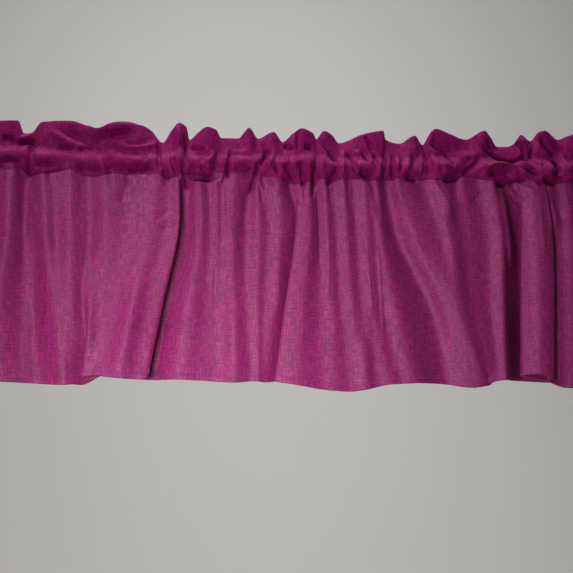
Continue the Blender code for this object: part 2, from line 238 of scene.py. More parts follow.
GATHER_ROWS = [
    (-500, 52, 2, 0, 0, 1),
    (-481, 44, -5, 2, -1, 0),
    (-462, 55, 6, 3, 3, 2),
    (-443, 46, -4, -2, -1, 0),
    (-420, 53, 5, 0, 3, 2),
    (-397, 55, 3, 3, 0, 1),
    (-388, 38, -4, 2, -2, 0),
    (-374, 39, -6, -2, -2, 0),
    (-361, 53, 5, 2, 3, 2),
    (-318, 56, 4, 0, 3, 2),
    (-293, 50, 0, 0, 0, 2),
    (-280, 47, -4, 0, -2, 1),
    (-254, 54, 4, 0, 3, 2),
    (-236, 55, 5, 0, 3, 2),
    (-212, 52, 2, -2, 0, 1),
    (-198, 45, -2, -2, -1, 0),
    (-184, 29, -7, 0, -2, 0),
    (-173, 46, -1, 2, 0, 0),
    (-161, 56, 6, 2, 3, 2),
    (-151, 51, 3, 2, -2, 1),
    (-144, 34, -6, 0, -1, 0),
    (-134, 43, 1, 2, 3, 0),
    (-117, 51, 6, 0, 3, 2),
    (-105, 48, 2, 0, -1, 1),
    (-97, 37, -3, 0, 0, 0),
    (-70, 37, -3, -2, 3, 0),
    (-56, 51, 6, 0, 0, 2),
    (-42, 38, -5, 0, -1, 0),
    (-22, 46, 4, 2, -2, 1),
    (-5, 34, -6, 0, 0, 0),
    (7, 45, 0, 2, -1, 1),
    (23, 52, 6, 0, 3, 2),
    (38, 46, 1, 2, 3, 0),
    (45, 39, -4, 0, -2, 0),
    (58, 49, 5, -2, 0, 2),
    (71, 44, 0, -2, -2, 0),
    (79, 34, -6, 0, 0, 0),
    (113, 46, 3, 2, 3, 1),
    (142, 51, 6, 3, 3, 1),
    (148, 40, -3, 2, -1, 0),
    (171, 35, -5, 0, 3, 0),
    (193, 45, 4, 0, 0, 1),
    (207, 34, -6, 0, -2, 0),
    (216, 52, 3, 2, 0, 1),
    (225, 56, 6, 0, 3, 2),
    (251, 49, 3, -3, -1, 1),
    (277, 43, -3, -4, -1, 0),
    (298, 55, 5, 2, 3, 1),
    (307, 47, 0, 3, -1, 0),
    (323, 34, -7, 0, -2, 0),
    (337, 34, -6, 0, -1, 0),
    (349, 38, -2, -2, 0, 0),
    (356, 50, 4, 0, 4, 1),
    (373, 43, -3, 0, -1, 0),
    (384, 55, 4, 0, 3, 2),
    (393, 57, 6, 0, 4, 2),
    (414, 46, -3, 2, -1, 0),
    (427, 50, 3, 2, 3, 1),
    (439, 52, 5, 0, 3, 2),
    (452, 43, -5, 0, -1, 0),
    (468, 54, 6, 2, 3, 2),
    (485, 44, -4, 0, -1, 0),
    (504, 50, 3, 0, 0, 1),
]
GATHERS = [Gather(*row) for row in GATHER_ROWS]

# One row for each place where the channel leaves its even shape: how far its lower edge sags below
# the stitch line there, how far the neck above it slumps and how far its front is flattened.
Slump = namedtuple("Slump", "x sag neck flat")

SLUMP_ROWS = [
    (-500, 4, 5, 0),
    (-470, 7, 8, 0),
    (-440, 2, 4, 2),
    (-410, -3, 2, 2),
    (-396, -5, 1, 2),
    (-382, 2, 2, -1),
    (-370, 8, 3, -2),
    (-346, 5, 4, -1),
    (-332, 3, 5, 3),
    (-317, 0, 6, 5),
    (-299, 6, 8, 3),
    (-275, 9, 8, -2),
    (-253, 3, 6, -1),
    (-232, 4, 10, -2),
    (-203, 4, 11, -1),
    (-184, 6, 9, 3),
    (-170, 9, 7, 0),
    (-153, 4, 1, 0),
    (-136, 3, 9, -1),
    (-117, 6, 12, -1),
    (-104, 0, 8, 3),
    (-84, 1, 10, 5),
    (-64, -3, 9, 5),
    (-43, 2, 7, 4),
    (-27, 6, 7, 3),
    (-6, 9, 9, 2),
    (16, 12, 7, -1),
    (34, 10, 3, 0),
    (46, 6, 7, 4),
    (68, 9, 11, 0),
    (93, 5, 10, 5),
    (121, 7, 9, 0),
    (167, 5, 9, 5),
    (212, 4, 8, 4),
    (241, 6, 5, -2),
    (271, -2, 9, 5),
    (300, 4, 7, 3),
    (320, 8, 9, -2),
    (342, 6, 10, 0),
    (363, 4, 9, 4),
    (382, 9, 5, 2),
    (398, 8, 8, -1),
    (423, 6, 6, 2),
    (450, 5, 7, 1),
    (480, 3, 5, 1),
    (504, 4, 6, 1),
]
SLUMPS = [Slump(*row) for row in SLUMP_ROWS]

# One row for each crease laid in one by one: where it starts and ends on the hung cloth, how far
# it bows, how wide it is on its right and left (above and below, where it runs across), and how
# high it stands. A trough has a negative height.
Crease = namedtuple("Crease", "x z to_x to_z bow right left height")

HEADING_CREASE_ROWS = [
    (-300, 50, -220, 50, 0, 10, 14, 12),
    (-244, -16, -200, -14, 0, 2, 2, -6),
    (-150, -21, -108, -24, -4, 2, 2.5, -8),
    (12, -2, 22, -30, 0, 7, 6, -7),
    (108, -12, 128, -17, -3, 4, 4, -8),
    (316, 15, 350, 8, -2, 2.5, 2.5, -8),
    (232, -25, 261, -19, -1, 2, 2.5, -12),
    (405, 10, 408, -14, 3, 2.5, 2.5, -8),
    (-416, 30, -396, 24, 0, 4, 5, -8),
    (-480, 34, -479, -34, 1, 3, 4, -4),
    (-466, 28, -460, -10, 0, 5, 4, 3),
    (-447, 30, -449, -30, -1, 4, 3, -6),
    (-432, 14, -424, -26, 0, 3, 3, 3),
    (-400, 60, -399, 10, 0, 3, 4, -3),
    (-418, -10, -384, -10, 4, 3, 4, -7),
    (-416, -18, -390, -16, 3, 3, 3, 3),
    (-397, 19, -364, 22, 3, 4, 3, -10),
    (-394, 26, -366, 40, 0, 3, 4, 4),
    (-372, 30, -374, -38, 0, 4, 5, -9),
    (-385, 18, -387, -6, 0, 4, 4, 3),
    (-370, -14, -336, -13, 0, 5, 4, -8),
    (-338, 44, -256, 17, -3, 9, 4, -10),
    (-354, 44, -266, 6, -5, 5, 6, 4.5),
    (-281, 28, -222, 33, 2, 8, 4, -8),
    (-338, 15, -310, 13, 0, 3, 3, -5),
    (-307, 12, -279, 14, 1, 3, 3, -6),
    (-312, -16, -268, -20, 0, 7, 4, -9),
    (-272, 12, -250, 26, 0, 3, 4, 5),
    (-250, 24, -262, -10, 0, 4, 3, 3.5),
    (-252, 22, -189, 28, -7, 3, 4, 5),
    (-240, 25, -200, 30, -3, 3, 3, -4),
    (-264, -14, -232, -17, 0, 5, 4, -9),
    (-238, -17, -190, -14, 0, 5, 4, -10),
    (-266, 4, -258, -26, 0, 4, 4, -4),
    (-212, 2, -196, -12, 0, 5, 5, -4),
    (-190, 31, -187, -20, 0, 3, 3, -6),
    (-203, 24, -206, -16, 0, 4, 3, 2),
    (-182, -14, -170, -34, 0, 4, 3, -5),
    (-172, 6, -158, -30, 0, 5, 4, -6),
    (-162, 54, -158, 4, 1, 3, 4, 5),
    (-151, 46, -149, -10, 0, 2.5, 2.5, -8),
    (-160, -8, -151, -36, 0, 2.5, 2.5, 4),
    (-143, 22, -117, 14, -1, 4, 3, -8),
    (-143, 10, -112, 16, 0, 3, 3, 4),
    (-146, -24, -98, -23, -5, 5, 3, -11),
    (-130, 2, -114, -14, 0, 5, 5, -4),
    (-108, 17, -117, -10, 0, 3, 3, 5),
    (-102, 15, -110, -20, 0, 3, 3, -7),
    (-88, 22, -100, -40, 2, 2.5, 4, 6),
    (-84, 20, -88, -34, 0, 2.5, 2, -6),
    (-84, 16, -44, 15, -1, 3, 3, 2),
    (-84, -14, -46, -13, 1, 4, 3, -4),
    (-24, 24, -43, -10, 2, 3, 3, -10),
    (-41, 2, -56, -52, 1, 3, 3, -10),
    (-18, 22, -37, -26, 3, 2.5, 3, 5),
    (-36, 34, -29, 10, 0, 2, 3, -4),
    (-26, 16, -14, -44, -2, 9, 7, 5),
    (-17, -6, -13, -22, 0, 3, 3, -5),
    (16, 48, 15, 14, 0, 2, 2, -6),
    (-6, 26, 14, 20, 1, 4, 3, -10),
    (25, 24, 39, 22, 1, 3, 3, -9),
    (-3, 18, 5, -8, 0, 3, 3, 3),
    (-5, 0, 18, -34, 0, 5, 5, -10),
    (12, 12, 14, -12, 0, 3, 3, 5),
    (22, 6, 25, -42, 0, 5, 4, -10),
    (31, 14, 33, -18, 0, 2.5, 2.5, 4),
    (42, 8, 38, -60, 0, 3, 3, -7),
    (47, 38, 76, -8, 3, 4, 3, -8),
    (78, -2, 58, -36, 2, 4, 4, -9),
    (58, 18, 48, -26, -2, 7, 6, 5),
    (86, 26, 84, -20, 0, 3, 3, 3),
    (92, 20, 106, -20, 0, 3, 3, -6),
    (102, 22, 114, 6, 0, 3, 3, 4),
    (112, 20, 122, -4, 0, 2.5, 2.5, -5),
    (104, -9, 134, -19, -4, 6, 6, -10),
    (118, 44, 130, 16, 1, 3, 3, -6),
    (126, 18, 124, -4, 0, 2.5, 2.5, 4),
    (131, 20, 133, -12, 0, 2.5, 2.5, -4),
    (139, 24, 138, -28, 0, 2.5, 2.5, 3),
    (147, 18, 145, -26, 0, 2.5, 2.5, -5),
    (153, 20, 150, -28, 0, 2.5, 2.5, 3),
    (160, 18, 158, -34, 0, 2.5, 2.5, -5),
    (168, 22, 163, -20, 0, 2.5, 2.5, 3),
    (174, 12, 171, -14, 0, 2.5, 2.5, -5),
    (183, 22, 180, -16, 0, 3, 3, 3),
    (176, -16, 198, -24, -1, 5, 5, -8),
    (193, 18, 189, -10, 0, 3, 3, -4),
    (203, 22, 201, -18, 0, 3, 3, 3),
    (209, 34, 214, -20, 1, 3, 3, -6),
    (212, 38, 258, 16, -2, 7, 4, -10),
    (213, 30, 216, 58, -4, 3, 3, 4),
    (218, 20, 226, -18, -1, 6, 4, 5),
    (238, 18, 252, -4, 0, 2.5, 2.5, -7),
    (232, 4, 240, -18, 0, 5, 4, 3),
    (258, -18, 294, 14, -1, 2.5, 5, -8),
    (232, -23, 265, -13, 0, 3, 3, -12),
    (250, 8, 300, 19, 2, 7, 6, 4),
    (266, 6, 276, -4, 0, 4, 3, -3),
    (294, 32, 342, 6, -3, 4, 3, -12),
    (338, 6, 368, 22, -2, 3, 3, -8),
    (302, 42, 322, 24, -2, 3, 3, -5),
    (346, 42, 364, 18, 2, 3, 3, -9),
    (352, 46, 374, 22, 3, 2.5, 3, 5),
    (372, 26, 371, 12, 0, 2.5, 2.5, -7),
    (384, 48, 416, 12, -2, 5, 4, -12),
    (399, 50, 424, 28, 1, 3, 3, 3),
    (298, -6, 348, -4, 9, 4, 3, 6),
    (302, -15, 346, -13, 3, 7, 6, -12),
    (314, -27, 334, -27, 0, 3, 3, -9),
    (344, 12, 376, -6, 1, 3, 3, 5),
    (344, 2, 384, -18, 0, 2.5, 2.5, -5),
    (350, -8, 390, -28, 1, 3, 3, 4),
    (346, -18, 380, -36, 0, 2.5, 2.5, -5),
    (372, 16, 386, 0, 0, 3, 3, 4),
    (404, 14, 411, -16, 1, 5, 4, -12),
    (384, -18, 410, -27, -1, 4, 3, -10),
    (392, 8, 400, -14, 0, 3, 3, 4),
    (417, 26, 428, -16, 0, 4, 3, 4),
    (446, 30, 444, -30, 0, 3, 3, -6),
    (458, 12, 452, -24, 0, 3, 3, 3),
    (482, 34, 480, -34, -1, 3, 3, -5),
]
HEADING_CREASES = [Crease(*row) for row in HEADING_CREASE_ROWS]

DROP_CREASE_ROWS = [
    (-385, -6, -383, -128, 0, 9, 12, -4.5),
    (-374, -90, -364, -350, 0, 24, 34, -6),
    (-374, -60, -364, -345, 0, 8, 9, 3),
    (-338, -60, -326, -345, 0, 12, 10, -2.5),
    (-206, -170, -250, -340, 2, 13, 14, 4),
    (-76, -210, -76, -345, 0, 10, 10, 1.4),
    (-50, -190, -47, -345, 0, 8, 8, -1.2),
    (210, -110, 292, -340, 0, 26, 12, 3.6),
    (324, -24, 337, -166, 0, 6, 7, 7),
    (400, -10, 403, -110, 0, 10, 8, 5),
    (-306, -130, -302, -330, 0, 14, 34, 4),
    (-8, -80, -12, -250, 0, 12, 9, 3),
    (-98, -150, -98, -348, 0, 20, 26, -5),
    (-288, -140, -278, -300, 0, 9, 14, 5),
    (-172, -200, -190, -345, 0, 8, 22, -3.5),
    (114, -200, 112, -345, 0, 9, 9, 2.5),
    (238, -6, 242, -90, 0, 9, 12, 4),
    (352, -50, 350, -330, 0, 6, 6, -2),
    (-415, -24, -382, -22, 3, 3, 3, -1.5),
    (-345, -14, -347, -50, 0, 4, 4, -1.2),
    (-302, -14, -300, -140, 0, 6, 7, -2),
    (-258, -12, -256, -50, 0, 5, 5, -1.5),
    (-228, -12, -248, -80, 3, 6, 5, -2),
    (-214, -14, -232, -60, 0, 4, 4, 1.2),
    (-184, -12, -172, -48, 0, 4, 3, -2.5),
    (-167, -16, -178, -52, 0, 3, 3, 1.5),
    (-196, -96, -156, -72, 2, 4, 4, -1.6),
    (-206, -122, -158, -98, 3, 5, 4, -1.6),
    (-194, -108, -160, -84, 2, 4, 4, 1.2),
    (-149, -22, -145, -44, 0, 5, 4, -7),
    (-146, -20, -132, -10, 1, 3, 3, -5),
    (-132, -12, -108, -24, 2, 3, 3, -5),
    (-136, -30, -134, -130, 0, 3, 3, 1.2),
    (-105, -50, -104, -240, 0, 1.6, 2.5, -1),
    (-90, -30, -84, -110, 0, 4, 4, 1.2),
    (-54, -30, -62, -120, -4, 7, 5, -2),
    (-44, -22, -34, -70, 0, 3, 4, -3),
    (-38, -44, -8, -36, -6, 3, 3, 1.2),
    (-34, -54, -2, -44, -7, 3, 3, -1),
    (-16, -60, -6, -240, 6, 8, 8, -1.2),
    (9, -28, 13, -60, 0, 3, 3, 1.5),
    (24, -14, 28, -70, 0, 3, 3, -2),
    (8, -176, 26, -176, 0, 1.5, 2.5, -0.8),
    (44, -18, 48, -160, 1, 1.5, 2.5, -2),
    (61, -20, 66, -70, 0, 3, 3, -1.5),
    (61, -110, 60, -220, 0, 1.6, 2.5, 1),
    (90, -20, 94, -80, 0, 3, 3, -1.4),
    (72, -236, 96, -232, -10, 5, 6, -1.2),
    (108, -20, 112, -66, 0, 3, 3, -1.6),
    (118, -22, 128, -90, 2, 4, 3, 1.2),
    (131, -104, 138, -290, 2, 1.6, 2.6, 1.2),
    (115, -110, 124, -240, 0, 2, 3, 1),
    (128, -20, 138, -96, 0, 4, 4, -2),
    (160, -20, 176, -80, 0, 4, 4, 1),
    (183, -126, 198, -130, -2, 1.4, 2.2, -1),
    (181, -132, 199, -136, -2, 2, 3, 0.8),
    (172, -88, 190, -110, 0, 3, 3, -0.8),
    (216, -20, 248, -96, 6, 2, 5, 1.6),
    (304, -32, 276, -58, 1, 1.6, 3, -1.6),
    (298, -74, 312, -74, 0, 1.4, 2, -0.5),
    (303, -120, 320, -120, 0, 1.4, 2, -0.5),
    (336, -30, 366, -50, -2, 3, 3, 2),
    (338, -42, 362, -60, -2, 2, 2, -1.4),
    (345, -54, 358, -64, 0, 3, 3, 1.2),
    (378, -40, 380, -150, 0, 4, 4, 1.2),
    (398, -30, 414, -90, 0, 5, 4, -2),
    (426, -20, 428, -70, 0, 4, 4, -1.5),
    (-352, -144, -290, -146, 0, 1.2, 2, -0.5),
    (-216, -176, -196, -177, 0, 1.4, 2.2, -0.6),
    (-160, -150, -128, -152, 0, 1.4, 2.2, -0.5),
    (-158, -222, -138, -223, 0, 1.6, 2.4, 0.6),
]
DROP_CREASES = [Crease(*row) for row in DROP_CREASE_ROWS]


def mixed(first, second, share):
    return first + (second - first) * share


def eased(share):
    """Rises softly from 0 to 1."""
    share = np.clip(share, 0.0, 1.0)
    return share * share * (3 - 2 * share)


def unit(vectors):
    """The same directions, each of length one."""
    return vectors / np.maximum(np.linalg.norm(vectors, axis=-1, keepdims=True), 1e-9)


def walked_along(line):
    """How far each point of a line is from its start, measured along it."""
    steps = np.linalg.norm(np.diff(line, axis=0), axis=1)
    return np.concatenate([[0.0], np.cumsum(steps)])


def rounded_curve(points, places):
    """Points on a rounded curve through the given ones, at places counted in points."""
    padded = np.vstack([2 * points[0] - points[1], points, 2 * points[-1] - points[-2]])
    span = np.minimum(places.astype(int), len(points) - 2)
    a, b, c, d = (padded[span + k] for k in range(4))
    kb = np.sqrt(np.linalg.norm(b - a, axis=1))[:, None]
    kc = kb + np.sqrt(np.linalg.norm(c - b, axis=1))[:, None]
    kd = kc + np.sqrt(np.linalg.norm(d - c, axis=1))[:, None]
    k = mixed(kb, kc, (places - span)[:, None])
    ab = mixed(a, b, k / kb)
    bc = mixed(b, c, (k - kb) / (kc - kb))
    cd = mixed(c, d, (k - kc) / (kd - kc))
    abc = mixed(ab, bc, k / kc)
    bcd = mixed(bc, cd, (k - kb) / (kd - kb))
    return mixed(abc, bcd, (k - kb) / (kc - kb))


def down_the_columns(levels, places):
    """Rows of points on the smooth lines through four levels, one for each place from 0 to 3."""
    a, b, c, d = levels
    grown = [2 * a - b, a, b, c, d, 2 * d - c]
    rows = []
    for place in places:
        span = min(int(place), 2)
        share = place - span
        before, here, ahead, beyond = grown[span : span + 4]
        bend = (ahead - before) * share
        bend = bend + (2 * before - 5 * here + 4 * ahead - beyond) * share**2
        bend = bend + (3 * here - before - 3 * ahead + beyond) * share**3
        rows.append(here + bend / 2)
    return np.array(rows)


def smooth_values(xs, values, x):
    """Reads a table at many places, rising and falling only where the table does."""
    xs = np.array(xs, float)
    values = np.array(values, float)
    slopes = np.diff(values) / np.diff(xs)
    product = slopes[:-1] * slopes[1:]
    total = slopes[:-1] + slopes[1:]
    rates = np.zeros(len(xs))
    same_way = product > 0
    rates[1:-1][same_way] = 2 * product[same_way] / total[same_way]
    i = np.clip(np.searchsorted(xs, x, side="right") - 1, 0, len(xs) - 2)
    width = xs[i + 1] - xs[i]
    s = np.clip((x - xs[i]) / width, 0.0, 1.0)
    ends = s * (1 - s) * ((1 - s) * rates[i] - s * rates[i + 1]) * width
    return mixed(values[i], values[i + 1], s * s * (3 - 2 * s)) + ends


def crease_relief(x, z, creases):
    """How far the creases bring the cloth forward at each place of the front view."""
    relief = np.zeros(x.shape)
    for c in creases:
        run = math.hypot(c.to_x - c.x, c.to_z - c.z)
        right, up = (c.to_x - c.x) / run, (c.to_z - c.z) / run
        along = ((x - c.x) * right + (z - c.z) * up) / run
        across = (z - c.z) * right - (x - c.x) * up - 4 * c.bow * along * (1 - along)
        width = np.where(across > 0, c.right, c.left)
        fade = eased(along / CREASE_FADE) * eased((1 - along) / CREASE_FADE)
        relief += c.height * fade * np.exp(-((across / width) ** 2))
    return relief


def small_gathers(x):
    """Fine uneven puckers along a stitch line, about a millimetre high. All is in millimetres."""
    swing = np.sin(x / 2.1 + 2.2 * np.sin(x / 31) + 1.3 * np.sin(x / 17))
    slow = np.sin(x / 3.9 + 1.7 * np.sin(x / 23 + 1) + 2)
    return 0.45 * swing * (0.6 + 0.4 * np.sin(x / 41)) + 0.4 * slow


def soft_unevenness(x, z):
    """The slight waviness of cloth that has hung for a while. All is in millimetres."""
    first = np.sin(x / 9.7 + z / 31 + 2 * np.sin(z / 47)) * np.sin(z / 19 + x / 53)
    second = np.sin(x / 17 - z / 23 + 1.5 * np.sin(x / 61)) * np.sin(z / 37 - x / 29 + 1)
    return 0.22 * first + 0.3 * second


def table_values(rows, name, x):
    """One column of the gathers or the slumps, at many places across the width."""
    return smooth_values([row.x for row in rows], [getattr(row, name) for row in rows], x)


def closer_at_ends(count):
    """Shares from 0 to 1, closer together at both ends."""
    return (1 - np.cos(np.linspace(0, math.pi, count))) / 2


def ruffle_shares(rows, edge_rows):
    """Shares of the ruffle's height, closer together where its edge rounds."""
    edge = np.linspace(RUFFLE_ROUND, 1, edge_rows)
    return np.concatenate([np.linspace(0, RUFFLE_ROUND, rows), edge[1:]])


def cloth_levels(columns):
    """The four level curves of the drop, at columns spread evenly along the cloth."""
    seam = [(f.seam_x, HANGING_Y[0] - f.seam_out, CHANNEL_SEAM_Z) for f in FOLDS]
    upper = [(f.upper_x, HANGING_Y[1] - f.upper_out, UPPER_Z) for f in FOLDS]
    lower = [(f.lower_x, HANGING_Y[2] - f.lower_out, LOWER_Z) for f in FOLDS]
    hem = [(f.hem_x, HANGING_Y[3] - f.hem_out, f.hem_z) for f in FOLDS]
    tables = [np.array(level, float) for level in (seam, upper, lower, hem)]
    spans = len(FOLDS) - 1
    fine = np.linspace(0, spans, STEPS_PER_FOLD * spans + 1)
    length = sum(walked_along(rounded_curve(table, fine)) for table in tables)
    places = np.interp(np.linspace(0, length[-1], columns), length, fine)
    return [rounded_curve(table, places) for table in tables]


def outward(grid):
    """The unit normals of a grid of points, towards the right side of the cloth."""
    return unit(np.cross(np.gradient(grid, axis=0), np.gradient(grid, axis=1)))


def piece_of(mesh, material):
    """The mesh as a smooth object of the same name, in the scene."""
    mesh.shade_smooth()
    mesh.materials.append(material)
    piece = bpy.data.objects.new(mesh.name, mesh)
    bpy.context.scene.collection.objects.link(piece)
    return piece


def sheet_object(name, grid, place, material):
    """A sheet of quads through a grid of points in millimetres, its cloth places as a UV map."""
    rows, columns = grid.shape[:2]
    index = np.arange(rows * columns).reshape(rows, columns)
    corners = [index[:-1, :-1], index[1:, :-1], index[1:, 1:], index[:-1, 1:]]
    quads = np.stack(corners, axis=-1).reshape(-1, 4)
    mesh = bpy.data.meshes.new(name)
    mesh.vertices.add(rows * columns)
    mesh.vertices.foreach_set("co", (grid * MM).astype(np.float32).ravel())
    mesh.loops.add(quads.size)
    mesh.loops.foreach_set("vertex_index", quads.astype(np.int32).ravel())
    mesh.polygons.add(len(quads))
    mesh.polygons.foreach_set("loop_start", np.arange(0, quads.size, 4, dtype=np.int32))
    mesh.update(calc_edges=True)
    layer = mesh.uv_layers.new(name="cloth_place")
    layer.uv.foreach_set("vector", place.reshape(-1, 2)[quads.ravel()].astype(np.float32).ravel())
    return piece_of(mesh, material)


def stitch_object(name, lines, sizes, material):
    """Rows of short spindle shaped stitches lying on lines of points in millimetres."""
    length, gap = sizes.stitch_length / MM, sizes.stitch_gap / MM
    thread = sizes.thread_radius / MM
    spindles = []
    for line, normals in lines:
        walked = walked_along(line)
        starts = np.arange(gap, walked[-1] - length, length + gap)
        first, up, last = (
            np.stack([np.interp(starts + ahead, walked, values[:, k]) for k in range(3)], axis=1)
            for ahead, values in ((0.0, line), (length / 2, normals), (length, line))
        )
        up = unit(up)
        side = np.cross(up, unit(last - first)) * thread
        high = up * thread
        middle = (first + last) / 2 + high * STITCH_LIFT
        spindle = [first, last, middle + high, middle - high, middle + side, middle - side]
        spindles.append(np.stack(spindle, axis=1))
    points = np.concatenate(spindles)
    every = np.array(SPINDLE_FACES)[None] + 6 * np.arange(len(points))[:, None, None]
    mesh = bpy.data.meshes.new(name)
    mesh.from_pydata((points.reshape(-1, 3) * MM).tolist(), [], every.reshape(-1, 3).tolist())
    mesh.update()
    return piece_of(mesh, material)


def add_node(tree, kind, **settings):
    node = tree.nodes.new(kind)
    for key, value in settings.items():
        setattr(node, key, value)
    return node


def calculated(tree, operation, *inputs):
    """A Math node on numbers or sockets, and its result."""
    node = add_node(tree, "ShaderNodeMath", operation=operation)
    for socket, value in zip(node.inputs, inputs):
        if isinstance(value, bpy.types.NodeSocket):
            tree.links.new(value, socket)
        else:
            socket.default_value = value
    return node.outputs[0]


def shade(dye, share=1.0):
    """A dye made lighter or darker, as a colour for a socket."""
    return (*(channel * share for channel in dye), 1.0)


def streaks(tree, u, v, threads, detail=0.0):
    """Noise drawn out into threads, with cells of one size across the width and another up it."""
    place = add_node(tree, "ShaderNodeCombineXYZ")
    tree.links.new(calculated(tree, "DIVIDE", u, threads.across), place.inputs["X"])
    tree.links.new(calculated(tree, "DIVIDE", v, threads.up), place.inputs["Y"])
    place.inputs["Z"].default_value = threads.seed
    noise = add_node(tree, "ShaderNodeTexNoise", noise_dimensions="3D")
    noise.inputs["Scale"].default_value = 1.0
    noise.inputs["Detail"].default_value = detail
    noise.inputs["Roughness"].default_value = 0.6
    tree.links.new(place.outputs["Vector"], noise.inputs["Vector"])
    return noise.outputs["Fac"]


def slubby_weave():
    """The weave of both cloths: threads both ways with thick and thin runs, and uneven dye."""
    tree = bpy.data.node_groups.new("slubby weave", "ShaderNodeTree")
    face = tree.interface
    face.new_socket("Place", in_out="INPUT", socket_type="NodeSocketVector")
    for name, value in (("Thread Pitch", 0.0008), ("Slub Contrast", 1.0), ("Roughness", 0.6)):
        socket = face.new_socket(name, in_out="INPUT", socket_type="NodeSocketFloat")
        socket.default_value = value
    for name in ("Cloth Colour", "Thin Colour", "Slub Colour"):
        face.new_socket(name, in_out="INPUT", socket_type="NodeSocketColor")
    face.new_socket("Colour", in_out="OUTPUT", socket_type="NodeSocketColor")
    face.new_socket("Roughness", in_out="OUTPUT", socket_type="NodeSocketFloat")
    face.new_socket("Height", in_out="OUTPUT", socket_type="NodeSocketFloat")

    given = add_node(tree, "NodeGroupInput")
    result = add_node(tree, "NodeGroupOutput")
    parts = add_node(tree, "ShaderNodeSeparateXYZ")
    tree.links.new(given.outputs["Place"], parts.inputs["Vector"])
    u, v = parts.outputs["X"], parts.outputs["Y"]

    rows = (UPRIGHT, LEVEL, SHORT_UPRIGHT, SHORT_LEVEL)
    upright, level, short_upright, short_level = (streaks(tree, u, v, row) for row in rows)
    dye = streaks(tree, u, v, DYE, detail=2.0)

    threads = calculated(tree, "ADD", upright, level)
    short_threads = calculated(tree, "ADD", short_upright, short_level)
    both = calculated(tree, "ADD", threads, short_threads)
    centred = calculated(tree, "SUBTRACT", both, len(rows) / 2)
    swing = calculated(tree, "MULTIPLY", centred, given.outputs["Slub Contrast"])
    against = calculated(tree, "MULTIPLY", swing, -1.0)

    def shown(socket, amount, low, high):
        spread = add_node(tree, "ShaderNodeMapRange", clamp=True)
        spread.inputs["From Min"].default_value = low
        spread.inputs["From Max"].default_value = high
        tree.links.new(socket, spread.inputs["Value"])
        return calculated(tree, "MULTIPLY", spread.outputs["Result"], amount)

    thick = shown(swing, amount=0.9, low=0.06, high=0.6)
    thin = shown(against, amount=0.8, low=0.0, high=0.5)

    def blended(first, second, share):
        mix = add_node(tree, "ShaderNodeMix", data_type="RGBA", blend_type="MIX")
        tree.links.new(share, mix.inputs["Factor"])
        tree.links.new(first, mix.inputs["A"])
        tree.links.new(second, mix.inputs["B"])
        return mix.outputs["Result"]

    colour = blended(given.outputs["Cloth Colour"], given.outputs["Slub Colour"], thick)
    colour = blended(colour, given.outputs["Thin Colour"], thin)
    faded = calculated(tree, "MULTIPLY_ADD", dye, DYE_SWING, 1 - DYE_SWING / 2)
    tone = add_node(tree, "ShaderNodeVectorMath", operation="SCALE")
    tree.links.new(colour, tone.inputs[0])
    tree.links.new(faded, tone.inputs["Scale"])
    tree.links.new(tone.outputs["Vector"], result.inputs["Colour"])

    rough = calculated(tree, "MULTIPLY_ADD", swing, -SLUB_SHINE, given.outputs["Roughness"])
    tree.links.new(calculated(tree, "MINIMUM", rough, DULLEST), result.inputs["Roughness"])

    turns = calculated(tree, "DIVIDE", 2 * math.pi, given.outputs["Thread Pitch"])
    over = calculated(tree, "SINE", calculated(tree, "MULTIPLY", u, turns))
    under = calculated(tree, "SINE", calculated(tree, "MULTIPLY", v, turns))
    plain = calculated(tree, "MULTIPLY", over, under)
    height = calculated(tree, "MULTIPLY_ADD", plain, PLAIN_WEAVE, swing)
    tree.links.new(height, result.inputs["Height"])
    return tree


def cloth_finish(name, finish, colour, gloss):
    """Slubby cloth: a soft dull shine, a little sheen off its edges and threads in relief."""
    material = bpy.data.materials.new(name)
    material.use_nodes = True
    tree = material.node_tree
    shader = tree.nodes["Principled BSDF"]
    shader.inputs["Metallic"].default_value = 0.0
    shader.inputs["IOR"].default_value = 1.5
    shader.inputs["Specular IOR Level"].default_value = gloss
    shader.inputs["Sheen Weight"].default_value = finish.sheen
    shader.inputs["Sheen Roughness"].default_value = 0.35
    shader.inputs["Sheen Tint"].default_value = shade(finish.sheen_tint)
    place = add_node(tree, "ShaderNodeUVMap", uv_map="cloth_place")
    weave = bpy.data.node_groups.get("slubby weave") or slubby_weave()
    group = add_node(tree, "ShaderNodeGroup", node_tree=weave)
    tree.links.new(place.outputs["UV"], group.inputs["Place"])
    group.inputs["Thread Pitch"].default_value = finish.thread_pitch
    group.inputs["Slub Contrast"].default_value = finish.slub_contrast
    group.inputs["Roughness"].default_value = finish.roughness
    group.inputs["Cloth Colour"].default_value = shade(colour)
    group.inputs["Thin Colour"].default_value = shade(colour, finish.thin_share)
    group.inputs["Slub Colour"].default_value = shade(colour, finish.slub_share)
    bump = add_node(tree, "ShaderNodeBump")
    bump.inputs["Strength"].default_value = 1.0
    bump.inputs["Distance"].default_value = finish.thread_relief
    tree.links.new(group.outputs["Colour"], shader.inputs["Base Color"])
    tree.links.new(group.outputs["Roughness"], shader.inputs["Roughness"])
    tree.links.new(group.outputs["Height"], bump.inputs["Height"])
    tree.links.new(bump.outputs["Normal"], shader.inputs["Normal"])
    return material


